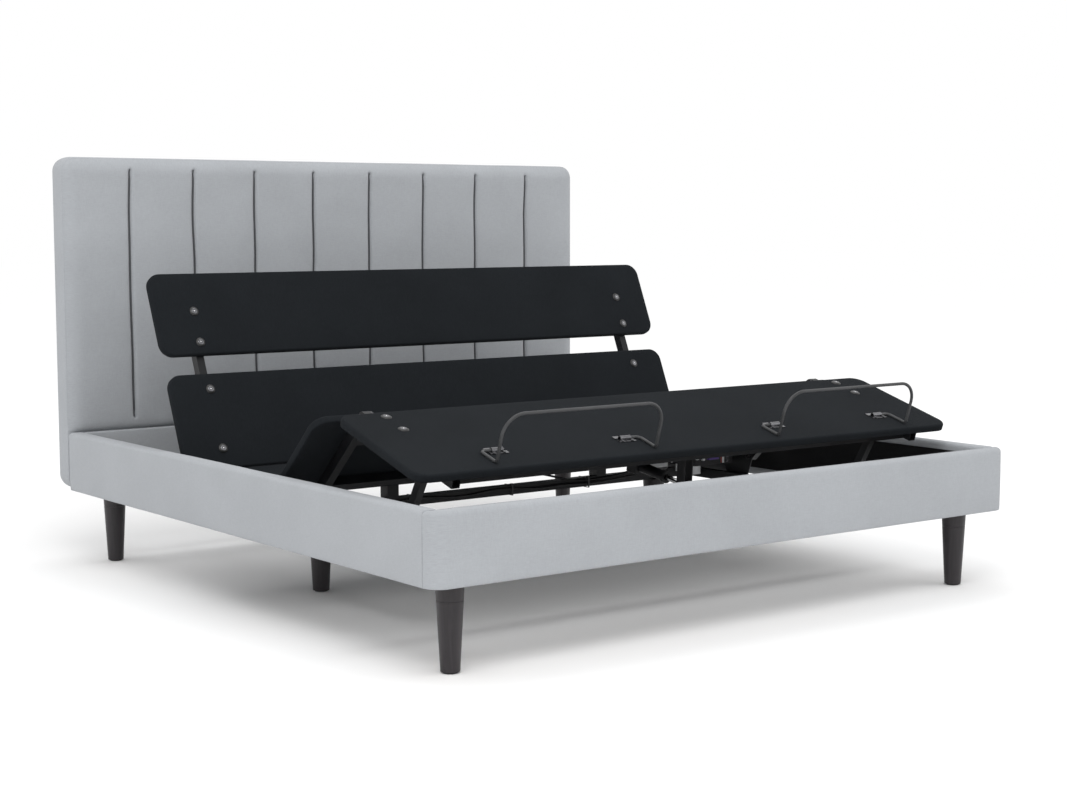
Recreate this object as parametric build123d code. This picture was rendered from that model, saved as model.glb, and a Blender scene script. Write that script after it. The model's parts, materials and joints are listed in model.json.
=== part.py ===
"""Adjustable king bed base with its upholstered surround.

Millimetres.  Everything is built with y counted from the foot face of the footboard, x = 0 on
the long centre line and z = 0 on the floor.  The decks are drawn flat and then raised about their
hinges.  place() moves the finished pieces so that the origin is the bottom centre of the box.
"""
import math
import os

from build123d import *

os.makedirs("parts", exist_ok=True)

# ---------------------------------------------------------------- surround
WIDTH = 2060.0               # outside of the side rails
HEADBOARD_FRONT = 2092.0     # foot face to the front of the headboard
HEADBOARD_THICK = 96.0
LENGTH = HEADBOARD_FRONT + HEADBOARD_THICK
HEADBOARD_WIDTH = 2057.0
HEADBOARD_TOP = 1295.0
RAIL_BOTTOM = 228.0
RAIL_TOP = 415.0
RAIL_THICK = 47.0
RAIL_INNER_X = WIDTH / 2 - RAIL_THICK
CORNER_R = 45.0              # footboard ends and headboard top corners, seen in plan or in front
BACK_INSET = 8.0             # the dust panel, from the headboard edge
PAD = 12.5                   # foam and fabric around that wood
LINING_THICK = 2.0
LINING_BOTTOM = RAIL_BOTTOM + 24.0
LINING_TOP = RAIL_TOP - 22.0
HEAD_RAIL_THICK = 12.0

# ---------------------------------------------------------------- legs
LEG_TOP_R = 36.5
LEG_FLOOR_R = 24.5
LEG_COLLAR = 49.0            # height of the collar under the rail
GLIDE_H = 4.0
LEG_PLACES = {
    "foot_left": (-915.0, 101.0),
    "foot_right": (915.0, 101.0),
    "mid_left": (-647.0, 1168.0),
    "mid_right": (647.0, 1168.0),
    "head_left": (-915.0, 2012.0),
    "head_right": (915.0, 2012.0),
}

# ---------------------------------------------------------------- base frame and decks
DECK_TOP = 357.0             # top of the decks when they lie flat
DECK_BOARD = 22.0
DECK_HALF_WIDTH = 962.5
DECK_CORNER_R = 42.0
DECK_EDGE_R = 5.0
HINGE_Z = 320.0              # all deck hinges lie at the middle of the deck tubes
DECK_BOTTOM = DECK_TOP - DECK_BOARD
TUBE_W = 25.0
TUBE_H = 30.0
TUBE_WALL = 2.0
TUBE_BOTTOM = DECK_BOTTOM - TUBE_H
DECK_TUBE_X = 831.0
LOWER_TOP = RAIL_BOTTOM + TUBE_H
LOWER_TUBE_X = 801.7
PLATE = 4.0                  # hinge plates and gussets
PLATE_X = DECK_TUBE_X - TUBE_W / 2 - 0.3 - PLATE / 2
PIN_R = 6.0
PIN_HOLE_R = 6.05

HEAD_HINGE_Y = 1420.0
THIGH_HINGE_Y = 885.4
KNEE = 373.4                 # thigh hinge to knee hinge
HEAD_ANGLE = 66.7
THIGH_ANGLE = 43.2
FOOT_ANGLE = 17.1            # slope of the foot deck below level when the knee is up

HEAD_PANELS = ((25.7, 325.7), (386.7, 651.7))    # from the head hinge
HEAD_BOLTS = (86.7, 274.7, 425.7, 525.7)
HEAD_CROSSBARS = (75.0, 300.0, 600.0)
HEAD_TUBE_END = 640.0
THIGH_PANEL = (15.0, 343.6)                      # from the thigh hinge
THIGH_BOLTS = (110.0, 290.0)
THIGH_CROSSBARS = (75.0, 280.0)
FOOT_PANEL = (56.6, 457.0)                       # from the knee hinge
FOOT_BOLTS = (95.0, 180.0)
FOOT_CROSSBARS = (130.0, 405.0)
FOOT_TUBE_END = 440.0
SEAT_PANEL = (915.0, 1386.0)
SEAT_SCREWS = (985.0, 1300.0)
BOLT_HEAD_R = 11.0
BOLT_R = 4.0

CROSSBAR_YS = (505.0, 1168.0, 1925.0)
SEAT_CROSSBAR_Y = 1168.0
POST_X = 404.0
POST_SIZE = 40.0

# ---------------------------------------------------------------- foot links
LINK_X = 826.7
LINK_W = 20.0
LINK_H = 24.0
LINK_TOP_R = 8.8             # the top end is slimmer, to clear the deck tube
LINK_NECK = 34.0
LINK_TOP_STATION = 296.5     # from the knee, on the foot deck
LINK_TOP_DROP = 28.0         # below the middle of the deck tube
LINK_BASE = (466.3, 239.6)
LINK_PIN_R = 5.0
LINK_BRACKET = 3.0
LINK_BRACKET_LONG = 30.0     # half length of a bracket plate

# ---------------------------------------------------------------- actuators
ARM_PLATE = 5.0
ARM_GAP = 26.0               # between the two plates of a lift arm
ARM_PIN_R = 5.0
HEAD_ARM_R = 95.0            # head hinge to the arm's pin
HEAD_ARM_REST = -22.0        # its direction with the deck raised
HEAD_PIVOT = (1238.0, 306.0)
HEAD_ACTUATOR_X = 0.0
LEG_ARM_R = 92.0
LEG_ARM_REST = 220.0
LEG_PIVOT = (1086.0, 306.0)
LEG_ACTUATOR_X = 470.0
GEARBOX_NEAR = 18.0          # along the actuator, from its rear pivot
GEARBOX_FAR = 66.0
MOTOR_R = 23.0
MOTOR_LONG = 92.0
OUTER_TUBE_R = 17.0
OUTER_BORE_R = 11.0
ROD_R = 8.5
EYE_R = 13.0
ARM_REACH = 34.0             # room for the lift arm between the tube's mouth and the pin
EYE_W = 16.0

# ---------------------------------------------------------------- mattress retainer bars
RETAINER_CENTRES = {"left": -449.0, "right": 530.0}
RETAINER_HALF = 262.0
RETAINER_HEIGHT = 134.0
RETAINER_BEND = 62.0
RETAINER_STATION = 432.0     # upright part, from the knee
RETAINER_FOOT = 74.0         # back along the deck
RETAINER_TOE = 62.0          # inward, under the clamp
ROD_BAR_R = 4.5

# ---------------------------------------------------------------- electrics
CONTROL_BOX = (700.0, 985.0, 170.0, 116.0, 40.0)     # centre x, centre y, sizes
POWER_SUPPLY = (-610.0, 1262.0, 150.0, 82.0, 38.0)
CABLE_R = 3.5
TIES = ((-330.0, 1144.5), (40.0, 1144.5), (340.0, 1134.5))   # x and the front of the loop
TIE_WIDE = 5.0
TIE_THICK = 1.4


# ================================================================ small helpers
def box(x0, x1, y0, y1, z0, z1):
    """A block given by its limits."""
    size = Box(x1 - x0, y1 - y0, z1 - z0, align=(Align.MIN, Align.MIN, Align.MIN))
    return Pos(x0, y0, z0) * size


def cylinder_x(radius, x0, x1, y, z):
    """A cylinder along X."""
    body = Cylinder(radius, x1 - x0, align=(Align.CENTER, Align.CENTER, Align.MIN))
    return Pos(x0, y, z) * (Rot(0, 90, 0) * body)


def cylinder_z(radius, x, y, z0, z1):
    """A cylinder along Z."""
    return Pos(x, y, z0) * Cylinder(radius, z1 - z0, align=(Align.CENTER, Align.CENTER, Align.MIN))


def plate_x(points, x0, x1, holes=()):
    """A plate in a YZ plane: outline points (y, z), pulled from x0 to x1, with round holes."""
    face = make_face(Polyline(*[(y, z) for y, z in points], close=True))
    solid = extrude(Plane.YZ * face, amount=x1 - x0)
    solid = Pos(x0, 0, 0) * solid
    for y, z, radius in holes:
        solid -= cylinder_x(radius, x0 - 1, x1 + 1, y, z)
    return solid


def stadium_x(start, end, radius, x0, x1):
    """A flat bar with round ends in a YZ plane."""
    length = math.dist(start, end)
    middle = ((start[0] + end[0]) / 2, (start[1] + end[1]) / 2)
    angle = math.degrees(math.atan2(end[1] - start[1], end[0] - start[0]))
    profile = SlotCenterToCenter(length, 2 * radius, rotation=angle)
    solid = extrude(Plane.YZ * (Pos(*middle) * profile), amount=x1 - x0)
    return Pos(x0, 0, 0) * solid


def tube_y(x, y0, y1, z0, width=TUBE_W, height=TUBE_H):
    """A rectangular tube along Y."""
    outer = box(x - width / 2, x + width / 2, y0, y1, z0, z0 + height)
    inner = box(x - width / 2 + TUBE_WALL, x + width / 2 - TUBE_WALL, y0 - 1, y1 + 1,
                z0 + TUBE_WALL, z0 + height - TUBE_WALL)
    return outer - inner


def tube_x(x0, x1, y, z0, width=TUBE_W, height=TUBE_H):
    """A rectangular tube along X."""
    outer = box(x0, x1, y - width / 2, y + width / 2, z0, z0 + height)
    inner = box(x0 - 1, x1 + 1, y - width / 2 + TUBE_WALL, y + width / 2 - TUBE_WALL,
                z0 + TUBE_WALL, z0 + height - TUBE_WALL)
    return outer - inner


def mirrored(shape):
    """The shape and its mirror image on the other side of the centre line."""
    return [shape, mirror(shape, about=Plane.YZ)]


def turn(shape, y, z, degrees):
    """Rotate about the X direction through (y, z); positive lifts what lies on the +Y side."""
    return shape.rotate(Axis((0, y, z), (1, 0, 0)), degrees)


def turned(point, centre, degrees):
    """Where a (y, z) point goes in the same rotation."""
    c, s = math.cos(math.radians(degrees)), math.sin(math.radians(degrees))
    dy, dz = point[0] - centre[0], point[1] - centre[1]
    return centre[0] + c * dy - s * dz, centre[1] + s * dy + c * dz


HEAD_HINGE = (HEAD_HINGE_Y, HINGE_Z)
THIGH_HINGE = (THIGH_HINGE_Y, HINGE_Z)
KNEE_FLAT = (THIGH_HINGE_Y - KNEE, HINGE_Z)
KNEE_REST = turned(KNEE_FLAT, THIGH_HINGE, -THIGH_ANGLE)


def raise_head(shape):
    return turn(shape, *HEAD_HINGE, HEAD_ANGLE)


def raise_thigh(shape):
    return turn(shape, *THIGH_HINGE, -THIGH_ANGLE)


def raise_foot(shape):
    lifted = Pos(0, KNEE_REST[0] - KNEE_FLAT[0], KNEE_REST[1] - KNEE_FLAT[1]) * shape
    return turn(lifted, *KNEE_REST, FOOT_ANGLE)


def place(shapes):
    """Move from the working frame to the part's own frame."""
    pieces = shapes if isinstance(shapes, list) else [shapes]
    moved = []
    for piece in pieces:
        moved += (Pos(0, -LENGTH / 2, 0) * piece).solids()
    return moved


def save(name, shapes):
    solids = place(shapes)
    whole = solids[0] if len(solids) == 1 else Compound(solids)
    export_step(whole, f"parts/{name}.step")


# ================================================================ surround
def headboard_cushion():
    """Foam and fabric block with a pocket in the back for the board."""
    half = HEADBOARD_WIDTH / 2
    back = LENGTH - 4.0
    block = box(-half, half, HEADBOARD_FRONT, back, RAIL_BOTTOM, HEADBOARD_TOP)
    block = fillet(block.edges().filter_by(Axis.Y), CORNER_R)
    front = block.faces().sort_by(Axis.Y)[0]
    block = fillet(front.edges(), 14.0)
    pocket = box(-half + 50, half - 50, HEADBOARD_FRONT + 52, back + 1,
                 RAIL_BOTTOM + 50, HEADBOARD_TOP - 50)
    return block - pocket


def headboard_core():
    half = HEADBOARD_WIDTH / 2 - 50
    return box(-half, half, HEADBOARD_FRONT + 52, LENGTH - 4.0, RAIL_BOTTOM + 50, HEADBOARD_TOP - 50)


def headboard_back_panel():
    """Dust panel, set in from the edge so that the cover wraps past it."""
    half = HEADBOARD_WIDTH / 2 - BACK_INSET
    panel = box(-half, half, LENGTH - 4.0, LENGTH, RAIL_BOTTOM + BACK_INSET, HEADBOARD_TOP - BACK_INSET)
    return fillet(panel.edges().filter_by(Axis.Y), CORNER_R - BACK_INSET)


def side_rail(side):
    """Upholstered sleeve over the rail board, open underneath."""
    x0, x1 = sorted((side * RAIL_INNER_X, side * WIDTH / 2))
    sleeve = box(x0, x1, RAIL_THICK, HEADBOARD_FRONT, RAIL_BOTTOM, RAIL_TOP)
    sleeve = fillet(sleeve.edges().filter_by(Axis.Y).group_by(Axis.Z)[-1], 9.0)
    return sleeve - side_board(side)


def side_board(side):
    x0, x1 = sorted((side * (RAIL_INNER_X + PAD), side * (WIDTH / 2 - PAD)))
    return box(x0, x1, RAIL_THICK + 6, HEADBOARD_FRONT - 6, RAIL_BOTTOM, RAIL_TOP - PAD)


def footboard():
    half = WIDTH / 2
    block = box(-half, half, 0, RAIL_THICK, RAIL_BOTTOM, RAIL_TOP)
    block = fillet(block.edges().filter_by(Axis.Z).group_by(Axis.Y)[0], CORNER_R)
    block = fillet(block.faces().sort_by(Axis.Z)[-1].edges(), 9.0)
    return block - footboard_board()


def footboard_board():
    half = WIDTH / 2 - CORNER_R
    return box(-half, half, PAD, RAIL_THICK - PAD, RAIL_BOTTOM, RAIL_TOP - PAD)


def rail_linings():
    """Black cloth on the inner faces of the three rails."""
    x = RAIL_INNER_X
    foot = box(-x, x, RAIL_THICK, RAIL_THICK + LINING_THICK, LINING_BOTTOM, LINING_TOP)
    side = box(x - LINING_THICK, x, RAIL_THICK + LINING_THICK, HEADBOARD_FRONT - HEAD_RAIL_THICK - 1,
               LINING_BOTTOM, LINING_TOP)
    return [foot] + mirrored(side)


def head_rail():
    """Padded band across the foot of the headboard, between the side rails."""
    x = RAIL_INNER_X - LINING_THICK - 1
    band = box(-x, x, HEADBOARD_FRONT - HEAD_RAIL_THICK, HEADBOARD_FRONT, RAIL_BOTTOM, RAIL_TOP - 2)
    return fillet(band.edges().filter_by(Axis.X).group_by(Axis.Y)[0], 5.0)


def leg(x, y):
    """Tapered turned leg with a groove under its collar."""
    top = RAIL_BOTTOM
    taper = (LEG_TOP_R - LEG_FLOOR_R) / (top - GLIDE_H)
    collar_z = top - LEG_COLLAR
    collar_r = LEG_FLOOR_R + taper * (collar_z - GLIDE_H)
    outline = Polyline((0, GLIDE_H), (LEG_FLOOR_R, GLIDE_H), (collar_r, collar_z - 1.2),
                       (collar_r - 1.6, collar_z - 1.2), (collar_r - 1.6, collar_z + 1.2),
                       (collar_r, collar_z + 1.2), (LEG_TOP_R, top), (0, top), close=True)
    turned_leg = revolve(Plane.XZ * make_face(outline), Axis.Z)
    return Pos(x, y, 0) * turned_leg


def leg_glides():
    return [cylinder_z(LEG_FLOOR_R - 6, x, y, 0, GLIDE_H) for x, y in LEG_PLACES.values()]


def corner_blocks():
    """Blocks inside the four corners; the corner legs screw up into them."""
    x0, x1 = RAIL_INNER_X - 125, RAIL_INNER_X
    blocks = []
    for y0, y1 in ((RAIL_THICK, 160.0), (1956.0, HEADBOARD_FRONT - HEAD_RAIL_THICK - 1)):
        blocks += mirrored(box(x0, x1, y0, y1, RAIL_BOTTOM, LINING_BOTTOM - 2))
    return blocks


def headboard_brackets():
    """Steel angles that hold the headboard to the side rails."""
    x = RAIL_INNER_X - LINING_THICK
    y = HEADBOARD_FRONT - HEAD_RAIL_THICK - 1
    upright = box(x - 5, x, y - 70, y, LINING_BOTTOM + 20, LINING_TOP - 20)
    flange = box(x - 45, x - 5, y - 5, y, LINING_BOTTOM + 20, LINING_TOP - 20)
    return mirrored(upright + flange)


def rail_bolts():
    """Hexagon bolt heads: two on each outrigger end plate and two on each headboard bracket."""
    bolts = []
    plate_face = RAIL_INNER_X - LINING_THICK - 6
    for y in CROSSBAR_YS:
        for dz in (42.0, 66.0):
            bolts += mirrored(cylinder_x(6.5, plate_face - 5, plate_face, y, RAIL_BOTTOM + dz))
    bracket_face = RAIL_INNER_X - LINING_THICK - 5
    for dz in (50.0, 110.0):
        bolts += mirrored(cylinder_x(6.5, bracket_face - 5, bracket_face,
                                     HEADBOARD_FRONT - HEAD_RAIL_THICK - 40, RAIL_BOTTOM + dz))
    return bolts


# ================================================================ fixed base frame
def lower_side_tube(side):
    pivot = cylinder_x(LINK_PIN_R, 0, 1000, *LINK_BASE)
    tube = tube_y(LOWER_TUBE_X, 440.0, 1960.0, RAIL_BOTTOM) - pivot
    return tube if side > 0 else mirror(tube, about=Plane.YZ)


def crossbar(y):
    """Tube between the two lower side tubes."""
    half = LOWER_TUBE_X - TUBE_W / 2
    return tube_x(-half, half, y, RAIL_BOTTOM, width=TUBE_H)


def rail_outriggers():
    """Short arms that carry the base frame on the rails, each with an end plate."""
    arms = []
    end = RAIL_INNER_X - LINING_THICK - 6
    for y in CROSSBAR_YS:
        start = LOWER_TUBE_X + TUBE_W / 2
        if y == SEAT_CROSSBAR_Y:
            start += PLATE
        arm = tube_x(start, end, y, RAIL_BOTTOM, width=TUBE_H)
        plate = box(end, end + 6, y - 30, y + 30, RAIL_BOTTOM, RAIL_BOTTOM + 82)
        arms += mirrored(arm) + mirrored(plate)
    return arms


def seat_tube(side):
    holes = [cylinder_z(3.1, DECK_TUBE_X, y, TUBE_BOTTOM - 1, DECK_BOTTOM + 1) for y in SEAT_SCREWS]
    tube = tube_y(DECK_TUBE_X, THIGH_HINGE_Y + 18, HEAD_HINGE_Y - 18, TUBE_BOTTOM) - holes
    return tube if side > 0 else mirror(tube, about=Plane.YZ)


def seat_panel():
    """Fixed board between the hinges, drilled from below only, so its top stays plain."""
    panel = deck_panel(*SEAT_PANEL, (), corner=20.0)
    for y in SEAT_SCREWS:
        for x in (-DECK_TUBE_X, DECK_TUBE_X):
            panel -= cylinder_z(3.1, x, y, DECK_BOTTOM - 1, DECK_BOTTOM + 15)
    return panel


def seat_screws():
    """Screws up through the seat tubes into the seat board."""
    screws = []
    for y in SEAT_SCREWS:
        head = cylinder_z(7.0, DECK_TUBE_X, y, TUBE_BOTTOM - 4, TUBE_BOTTOM)
        screws += mirrored(head + cylinder_z(3.0, DECK_TUBE_X, y, TUBE_BOTTOM, DECK_BOTTOM + 14))
    return screws


def seat_crossbar():
    half = DECK_TUBE_X - TUBE_W / 2 - 0.3 - PLATE
    return tube_x(-half, half, SEAT_CROSSBAR_Y, TUBE_BOTTOM)


def seat_posts():
    """Square posts from the middle crossbar up to the seat crossbar."""
    half = POST_SIZE / 2
    post = box(POST_X - half, POST_X + half, SEAT_CROSSBAR_Y - half, SEAT_CROSSBAR_Y + half,
               LOWER_TOP, TUBE_BOTTOM)
    post -= box(POST_X - half + 2.5, POST_X + half - 2.5, SEAT_CROSSBAR_Y - half + 2.5,
                SEAT_CROSSBAR_Y + half - 2.5, LOWER_TOP - 1, TUBE_BOTTOM + 1)
    return mirrored(post)


def hinge_gussets():
    """Plates that stand on the lower side tubes and carry the seat tubes and hinge pins."""
    x0, x1 = PLATE_X - PLATE / 2, PLATE_X + PLATE / 2
    front = plate_x([(THIGH_HINGE_Y - 15, DECK_BOTTOM - 1), (THIGH_HINGE_Y - 15, HINGE_Z - 10),
                     (THIGH_HINGE_Y + 15, RAIL_BOTTOM), (THIGH_HINGE_Y + 95, RAIL_BOTTOM),
                     (THIGH_HINGE_Y + 125, HINGE_Z - 10), (THIGH_HINGE_Y + 125, DECK_BOTTOM - 1)],
                    x0, x1, [(*THIGH_HINGE, PIN_R)])
    rear = plate_x([(HEAD_HINGE_Y + 15, DECK_BOTTOM - 1), (HEAD_HINGE_Y + 15, HINGE_Z - 10),
                    (HEAD_HINGE_Y - 15, RAIL_BOTTOM), (HEAD_HINGE_Y - 95, RAIL_BOTTOM),
                    (HEAD_HINGE_Y - 125, HINGE_Z - 10), (HEAD_HINGE_Y - 125, DECK_BOTTOM - 1)],
                   x0, x1, [(*HEAD_HINGE, PIN_R)])
    middle = box(x0, x1, SEAT_CROSSBAR_Y - 30, SEAT_CROSSBAR_Y + 30, RAIL_BOTTOM, DECK_BOTTOM - 1)
    return mirrored(front) + mirrored(rear) + mirrored(middle)


def hinge_pin(centre):
    """Pin with a head inside the gusset and a nut outside the moving tube."""
    y, z = centre
    inner = PLATE_X - PLATE / 2
    outer = DECK_TUBE_X + TUBE_W / 2
    pin = cylinder_x(PIN_R, inner - 6, outer + 8, y, z)
    head = cylinder_x(10.0, inner - 6, inner, y, z)
    nut = cylinder_x(9.5, outer + 0.5, outer + 6.5, y, z)
    return pin + head + nut


def fixed_pins():
    """Head and thigh hinge pins, and the pivot bolts of the foot links."""
    pins = mirrored(hinge_pin(HEAD_HINGE)) + mirrored(hinge_pin(THIGH_HINGE))
    inner = LOWER_TUBE_X - TUBE_W / 2
    outer = LINK_X + LINK_W / 2
    bolt = cylinder_x(LINK_PIN_R, inner - 5, outer + 6, *LINK_BASE)
    bolt += cylinder_x(9.0, inner - 5, inner, *LINK_BASE)
    bolt += cylinder_x(8.5, outer + 0.5, outer + 5.5, *LINK_BASE)
    bolt += cylinder_x(8.0, inner + TUBE_W, LINK_X - LINK_W / 2 - 0.3, *LINK_BASE)
    return pins + mirrored(bolt)


# ================================================================ decks
def deck_panel(y0, y1, bolts, corner=DECK_CORNER_R):
    """A board with round corners and soft edges, drilled for its bolts."""
    panel = box(-DECK_HALF_WIDTH, DECK_HALF_WIDTH, y0, y1, DECK_BOTTOM, DECK_TOP)
    panel = fillet(panel.edges().filter_by(Axis.Z), corner)
    panel = fillet(panel.faces().sort_by(Axis.Z)[-1].edges(), DECK_EDGE_R)
    for y in bolts:
        for x in (-DECK_TUBE_X, DECK_TUBE_X):
            panel -= cylinder_z(BOLT_R + 0.1, x, y, DECK_BOTTOM - 1, DECK_TOP + 1)
    return panel


def deck_bolts(ys):
    """Button-head bolts through a panel into the tube under it."""
    bolts = []
    for y in ys:
        shank = cylinder_z(BOLT_R, DECK_TUBE_X, y, DECK_BOTTOM - 8, DECK_TOP)
        dome = Pos(DECK_TUBE_X, y, DECK_TOP) * Cylinder(BOLT_HEAD_R, 5.5, align=(
            Align.CENTER, Align.CENTER, Align.MIN))
        dome = fillet(dome.edges().sort_by(Axis.Z)[-1], 4.5)
        socket = cylinder_z(2.6, DECK_TUBE_X, y, DECK_TOP + 2.8, DECK_TOP + 6)
        bolts += mirrored(shank + dome - socket)
    return bolts


def hinged_tube(y_hinge, y_end, bolts):
    """Deck tube with a solid round end that turns on a hinge pin."""
    direction = 1 if y_end > y_hinge else -1
    y0, y1 = sorted((y_hinge + direction * TUBE_H / 2, y_end))
    tube = tube_y(DECK_TUBE_X, y0, y1, TUBE_BOTTOM)
    x0, x1 = DECK_TUBE_X - TUBE_W / 2, DECK_TUBE_X + TUBE_W / 2
    round_end = stadium_x((y_hinge, HINGE_Z), (y_hinge + direction * TUBE_H / 2, HINGE_Z),
                          TUBE_H / 2, x0, x1)
    tube += round_end
    tube -= cylinder_x(PIN_HOLE_R, x0 - 1, x1 + 1, y_hinge, HINGE_Z)
    for y in bolts:
        tube -= cylinder_z(BOLT_R + 0.1, DECK_TUBE_X, y, HINGE_Z, DECK_TOP)
    return tube


def deck_crossbars(ys):
    half = DECK_TUBE_X - TUBE_W / 2
    return [tube_x(-half, half, y, TUBE_BOTTOM) for y in ys]


def head_ys(stations):
    return [HEAD_HINGE_Y + s for s in stations]


def thigh_ys(stations):
    return [THIGH_HINGE_Y - s for s in stations]


def foot_ys(stations):
    return [KNEE_FLAT[0] - s for s in stations]


def head_frame():
    tube = hinged_tube(HEAD_HINGE_Y, HEAD_HINGE_Y + HEAD_TUBE_END, head_ys(HEAD_BOLTS))
    return [raise_head(p) for p in mirrored(tube) + deck_crossbars(head_ys(HEAD_CROSSBARS))]


def thigh_frame():
    tube = hinged_tube(THIGH_HINGE_Y, KNEE_FLAT[0] + 18, thigh_ys(THIGH_BOLTS))
    return [raise_thigh(p) for p in mirrored(tube) + deck_crossbars(thigh_ys(THIGH_CROSSBARS))]


def foot_frame():
    tube = hinged_tube(KNEE_FLAT[0], KNEE_FLAT[0] - FOOT_TUBE_END, foot_ys(FOOT_BOLTS))
    return [raise_foot(p) for p in mirrored(tube) + deck_crossbars(foot_ys(FOOT_CROSSBARS))]


def knee_hinges():
    """Plates on the thigh tubes with the pins that the foot tubes turn on."""
    x0, x1 = PLATE_X - PLATE / 2, PLATE_X + PLATE / 2
    y, z = KNEE_FLAT
    plate = stadium_x((y, z), (y + 62, z), 14.0, x0, x1)
    plate -= cylinder_x(PIN_R, x0 - 1, x1 + 1, y, z)
    plates = [raise_thigh(p) for p in mirrored(plate)]
    pins = [raise_thigh(p) for p in mirrored(hinge_pin(KNEE_FLAT))]
    return plates + pins


# ================================================================ foot links
def link_top_flat():
    return KNEE_FLAT[0] - LINK_TOP_STATION, HINGE_Z - LINK_TOP_DROP


def link_top_rest():
    flat = link_top_flat()
    moved = (flat[0] + KNEE_REST[0] - KNEE_FLAT[0], flat[1] + KNEE_REST[1] - KNEE_FLAT[1])
    return turned(moved, KNEE_REST, FOOT_ANGLE)


def foot_link(side):
    """Flat-sided strut; its upper pin floats in the slots of the deck's brackets."""
    x0, x1 = LINK_X - LINK_W / 2, LINK_X + LINK_W / 2
    top = link_top_rest()
    neck = tuple(t + (b - t) * LINK_NECK / math.dist(LINK_BASE, top) for b, t in zip(LINK_BASE, top))
    strut = stadium_x(LINK_BASE, neck, LINK_H / 2, x0, x1) + stadium_x(neck, top, LINK_TOP_R, x0, x1)
    strut -= cylinder_x(LINK_PIN_R + 0.05, x0 - 1, x1 + 1, *LINK_BASE)
    reach = 1.0 + LINK_BRACKET + 2.5
    strut += cylinder_x(LINK_PIN_R, x0 - reach, x1 + reach, *top)
    return strut if side > 0 else mirror(strut, about=Plane.YZ)


def link_brackets():
    """Slotted plates under the foot deck tubes, one pair for each link."""
    y, z = link_top_flat()
    plates = []
    inner = LINK_X - LINK_W / 2 - 1.0 - LINK_BRACKET
    outer = LINK_X + LINK_W / 2 + 1.0
    slot_end = (y + 10.5, z + 2.5)
    for x0 in (inner, outer):
        plate = box(x0, x0 + LINK_BRACKET, y - LINK_BRACKET_LONG, y + LINK_BRACKET_LONG,
                    z - 14, DECK_BOTTOM - TUBE_H)
        plate -= stadium_x((y - 0.3, z - 0.2), slot_end, LINK_PIN_R + 1.6, x0 - 1, x0 + LINK_BRACKET + 1)
        plates += mirrored(plate)
    return [raise_foot(p) for p in plates]


# ================================================================ lift arms and actuators
def arm_pin_rest(hinge, radius, degrees):
    a = math.radians(degrees)
    return hinge[0] + radius * math.cos(a), hinge[1] + radius * math.sin(a)


HEAD_ARM_PIN = arm_pin_rest(HEAD_HINGE, HEAD_ARM_R, HEAD_ARM_REST)
LEG_ARM_PIN = arm_pin_rest(THIGH_HINGE, LEG_ARM_R, LEG_ARM_REST)


def actuator_length(pivot, pin):
    return math.dist(pivot, pin)


def lift_arm(centre_x, root, slot_start, slot_end):
    """Two slotted plates from a deck crossbar down to the actuator's pin, drawn at rest."""
    plates = []
    for x0 in (centre_x - ARM_GAP / 2 - ARM_PLATE, centre_x + ARM_GAP / 2):
        plate = stadium_x(root, slot_start, 17.0, x0, x0 + ARM_PLATE)
        plate += stadium_x(slot_start, slot_end, 15.0, x0, x0 + ARM_PLATE)
        plate -= stadium_x(slot_start, slot_end, ARM_PIN_R + 1.8, x0 - 1, x0 + ARM_PLATE + 1)
        plates.append(plate)
    return plates


def below_crossbar(hinge, station, degrees):
    """A point just under a crossbar of a raised deck; station is signed along the flat deck."""
    return turned((hinge[0] + station, TUBE_BOTTOM - 17.5), hinge, degrees)


def head_lift_arm():
    root = below_crossbar(HEAD_HINGE, HEAD_CROSSBARS[0], HEAD_ANGLE)
    slot_start = (HEAD_ARM_PIN[0] + 0.2, HEAD_ARM_PIN[1] + 1.0)
    slot_end = (slot_start[0] - 10.0, slot_start[1])
    return lift_arm(HEAD_ACTUATOR_X, root, slot_start, slot_end)


def leg_lift_arm():
    root = below_crossbar(THIGH_HINGE, -THIGH_CROSSBARS[0], -THIGH_ANGLE)
    slot_end = (LEG_ARM_PIN[0] + 3.7, LEG_ARM_PIN[1] + 2.1)
    return lift_arm(LEG_ACTUATOR_X, root, LEG_ARM_PIN, slot_end)


def aim(shape, centre_x, pivot, pin):
    """Move a piece drawn along +X from the origin to lie along the actuator."""
    angle = math.degrees(math.atan2(pin[1] - pivot[1], pin[0] - pivot[0]))
    frame = Plane(origin=(centre_x, *pivot), x_dir=(0, math.cos(math.radians(angle)),
                                                    math.sin(math.radians(angle))),
                  z_dir=(1, 0, 0))
    return frame.location * shape


def actuator_gearbox():
    """Gear housing with the motor across it and an eye at the rear, drawn along +X."""
    length = GEARBOX_FAR - GEARBOX_NEAR
    housing = Pos((GEARBOX_NEAR + GEARBOX_FAR) / 2, 0, 0) * Box(length, 48, 52)
    housing = fillet(housing.edges(), 5.0)
    motor = Pos((GEARBOX_NEAR + GEARBOX_FAR) / 2, 0, 26) * Cylinder(
        MOTOR_R, MOTOR_LONG, align=(Align.CENTER, Align.CENTER, Align.MIN))
    motor = fillet(motor.edges().sort_by(Axis.Z)[-1], 4.0)
    lug = extrude(SlotCenterToCenter(GEARBOX_NEAR + 6, 24), amount=EYE_W)
    lug = Pos((GEARBOX_NEAR + 6) / 2, 0, -EYE_W / 2) * lug
    hole = Cylinder(PIN_HOLE_R, 60)
    return housing + motor + lug - hole


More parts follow.
